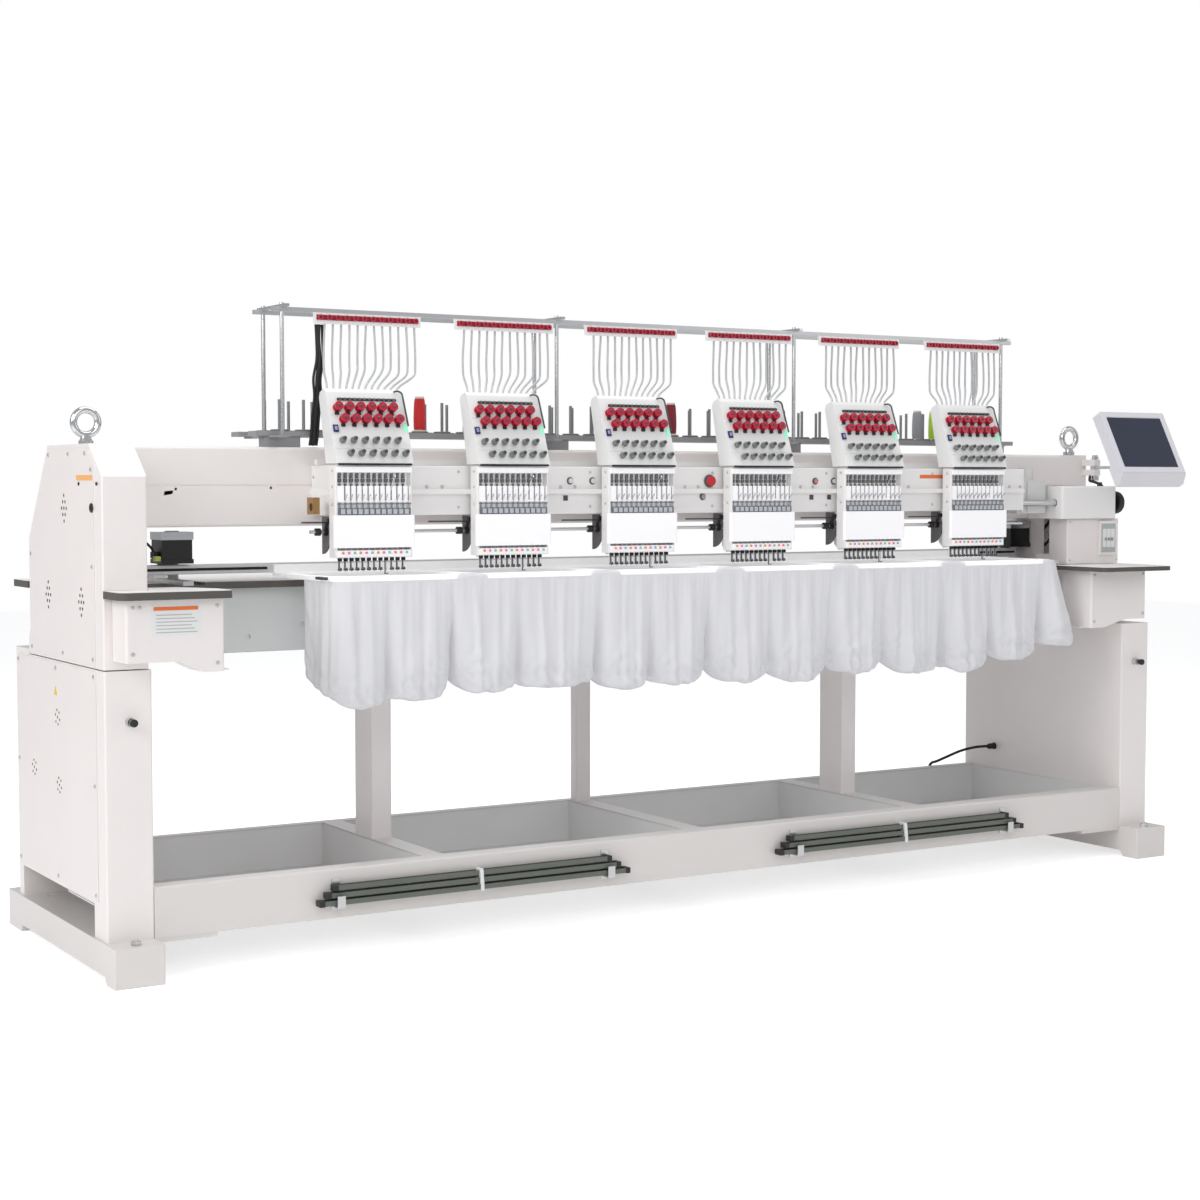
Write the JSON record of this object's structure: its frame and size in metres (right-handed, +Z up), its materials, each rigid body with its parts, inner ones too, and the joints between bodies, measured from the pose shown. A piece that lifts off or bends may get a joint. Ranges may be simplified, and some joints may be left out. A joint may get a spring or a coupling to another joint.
{
  "type": "tubular embroidery machine",
  "caption": "Free-standing multi-head tubular embroidery machine with needle cases, thread stand, moving hoop frame with hanging fabric, table boards and swivelling operator panel.",
  "frame": {"origin": "on the floor under the centre of the overall box at rest", "axes": "+X along the machine to the operator's right, +Y from the operator to the rear, +Z up"},
  "size_m": [3.941, 1.029, 1.822],
  "materials": {
    "white_enamel": "semi-gloss baked enamel, fine orange peel",
    "head_white": "semi-gloss enamel on castings and sheet",
    "tray_white": "satin enamel",
    "bright_steel": "ground steel",
    "dark_steel": "blackened steel",
    "chrome": "polished chrome",
    "aluminium": "brushed, anodised",
    "laminate": "pale laminate with a dark edge",
    "galvanised": "zinc-plated channel",
    "black_plastic": "moulded",
    "red_plastic": "moulded red",
    "clear_tube": "milky tube",
    "thread_colours": "wound polyester thread",
    "bag_fabric": "thin white non-woven cloth",
    "belt_rubber": "toothed belt",
    "bronze": "bearing bronze and cast housings",
    "panel_plastic": "white moulded bezel",
    "blue_plastic": "moulded blue"
  },
  "bodies": {
    "machine_frame": {"frame_drive_motors": "black_plastic", "foot_beams": "white_enamel", "levelling_screws": "bright_steel", "base_frame": "white_enamel", "waste_trays": "tray_white", "bed_posts": "white_enamel", "lower_cabinets": "white_enamel", "upper_side_boxes": "white_enamel", "side_covers": "white_enamel", "main_beam": "white_enamel", "bed_beam": "tray_white", "table_boards": "laminate", "table_boxes": "white_enamel", "eye_bolts": "chrome", "front_housing": "head_white", "head_arms": "head_white", "cylinder_arms": "head_white", "needle_plates": "bright_steel", "bobbin_cases": "bright_steel", "linear_rails": "bright_steel", "shaft_bearings": "bronze", "drive_belts": "belt_rubber", "main_motor": "black_plastic", "drive_cover": "head_white", "control_box": "white_enamel", "colour_change_drive": "aluminium", "thread_stand": "chrome", "spool_pins": "dark_steel", "thread_cones": "thread_colours", "guide_plates": "head_white", "thread_tubes": "clear_tube", "spare_hoop_rails": "galvanised", "storage_brackets": "bright_steel"},
    "main_shaft_unit": {"main_shaft": "bright_steel", "handwheel": "black_plastic"},
    "lower_shaft_unit": {"lower_shaft": "bright_steel"},
    "rotary_hook_unit_1": {"rotary_hook_1": "bright_steel"},
    "rotary_hook_unit_2": {"rotary_hook_2": "bright_steel"},
    "rotary_hook_unit_3": {"rotary_hook_3": "bright_steel"},
    "rotary_hook_unit_4": {"rotary_hook_4": "bright_steel"},
    "rotary_hook_unit_5": {"rotary_hook_5": "bright_steel"},
    "rotary_hook_unit_6": {"rotary_hook_6": "bright_steel"},
    "colour_carriage": {"needle_cases": "head_white", "case_covers": "panel_plastic", "tension_boxes": "head_white", "tension_rollers": "red_plastic", "tension_knobs": "bright_steel", "parked_needle_bars": "bright_steel"},
    "sewing_needle_bars": {"active_needle_bars": "bright_steel"},
    "sewing_presser_feet": {"active_presser_feet": "chrome"},
    "sewing_takeup_levers": {"active_takeup_levers": "chrome"},
    "pantograph_y": {"pantograph_beam": "aluminium"},
    "pantograph_x": {"hoop_rail": "dark_steel", "hoops": "panel_plastic", "fabric_bags": "bag_fabric"},
    "panel_arm_unit": {"panel_arm": "chrome"},
    "panel_unit": {"control_panel": "panel_plastic"},
    "emergency_stop_unit": {"emergency_stop": "red_plastic"},
    "push_buttons_unit": {"start_stop_buttons": "red_plastic"},
    "breaker_switch_unit": {"breaker_switch": "blue_plastic"}
  },
  "joints": [
    {"name": "main_shaft_turn", "type": "hinge", "parent": "machine_frame", "child": "main_shaft_unit", "pos_m": [-0.0705, -0.2015, 1.243], "axis": [1, 0, 0], "continuous": true},
    {"name": "lower_shaft_turn", "type": "hinge", "parent": "machine_frame", "child": "lower_shaft_unit", "pos_m": [-0.0705, 0.0905, 0.998], "axis": [1, 0, 0], "continuous": true},
    {"name": "rotary_hook_1_turn", "type": "hinge", "parent": "machine_frame", "child": "rotary_hook_unit_1", "pos_m": [-1.0945, -0.2675, 0.998], "axis": [0, 1, 0], "continuous": true},
    {"name": "rotary_hook_2_turn", "type": "hinge", "parent": "machine_frame", "child": "rotary_hook_unit_2", "pos_m": [-0.6445, -0.2675, 0.998], "axis": [0, 1, 0], "continuous": true},
    {"name": "rotary_hook_3_turn", "type": "hinge", "parent": "machine_frame", "child": "rotary_hook_unit_3", "pos_m": [-0.1945, -0.2675, 0.998], "axis": [0, 1, 0], "continuous": true},
    {"name": "rotary_hook_4_turn", "type": "hinge", "parent": "machine_frame", "child": "rotary_hook_unit_4", "pos_m": [0.2555, -0.2675, 0.998], "axis": [0, 1, 0], "continuous": true},
    {"name": "rotary_hook_5_turn", "type": "hinge", "parent": "machine_frame", "child": "rotary_hook_unit_5", "pos_m": [0.7055, -0.2675, 0.998], "axis": [0, 1, 0], "continuous": true},
    {"name": "rotary_hook_6_turn", "type": "hinge", "parent": "machine_frame", "child": "rotary_hook_unit_6", "pos_m": [1.1555, -0.2675, 0.998], "axis": [0, 1, 0], "continuous": true},
    {"name": "colour_change", "type": "slide", "parent": "machine_frame", "child": "colour_carriage", "axis": [1, 0, 0], "range_m": [-0.054, 0.144]},
    {"name": "needle_stroke", "type": "slide", "parent": "colour_carriage", "child": "sewing_needle_bars", "axis": [0, 0, 1], "range_m": [-0.034, 0]},
    {"name": "presser_stroke", "type": "slide", "parent": "colour_carriage", "child": "sewing_presser_feet", "axis": [0, 0, 1], "range_m": [-0.0085, 0]},
    {"name": "takeup_swing", "type": "hinge", "parent": "colour_carriage", "child": "sewing_takeup_levers", "pos_m": [-0.0705, -0.2535, 1.262], "axis": [1, 0, 0], "range_deg": [0, 50]},
    {"name": "hoop_depth_travel", "type": "slide", "parent": "machine_frame", "child": "pantograph_y", "axis": [0, 1, 0], "range_m": [-0.19, 0.015]},
    {"name": "hoop_side_travel", "type": "slide", "parent": "pantograph_y", "child": "pantograph_x", "axis": [1, 0, 0], "range_m": [-0.145, 0.1]},
    {"name": "panel_swivel", "type": "hinge", "parent": "machine_frame", "child": "panel_arm_unit", "pos_m": [1.8145, -0.1135, 1.37], "axis": [0, 0, 1], "range_deg": [-35, 35]},
    {"name": "panel_tilt", "type": "hinge", "parent": "panel_arm_unit", "child": "panel_unit", "pos_m": [1.8145, -0.30825, 1.42454], "axis": [1, 0, 0], "range_deg": [-15, 20]},
    {"name": "emergency_stop_press", "type": "slide", "parent": "machine_frame", "child": "emergency_stop_unit", "axis": [0, 1, 0], "range_m": [0, 0.005], "stiffness_N_per_m": 400},
    {"name": "push_buttons_press", "type": "slide", "parent": "machine_frame", "child": "push_buttons_unit", "axis": [0, 1, 0], "range_m": [0, 0.003], "stiffness_N_per_m": 400},
    {"name": "breaker_switch_throw", "type": "hinge", "parent": "machine_frame", "child": "breaker_switch_unit", "pos_m": [1.7695, -0.2255, 1.113], "axis": [1, 0, 0], "range_deg": [-35, 35]}
  ],
  "couplings": [
    {"joint": "lower_shaft_turn", "follows": "main_shaft_turn", "ratio": 2},
    {"joint": "rotary_hook_1_turn", "follows": "main_shaft_turn", "ratio": -2},
    {"joint": "rotary_hook_2_turn", "follows": "main_shaft_turn", "ratio": -2},
    {"joint": "rotary_hook_3_turn", "follows": "main_shaft_turn", "ratio": -2},
    {"joint": "rotary_hook_4_turn", "follows": "main_shaft_turn", "ratio": -2},
    {"joint": "rotary_hook_5_turn", "follows": "main_shaft_turn", "ratio": -2},
    {"joint": "rotary_hook_6_turn", "follows": "main_shaft_turn", "ratio": -2}
  ]
}
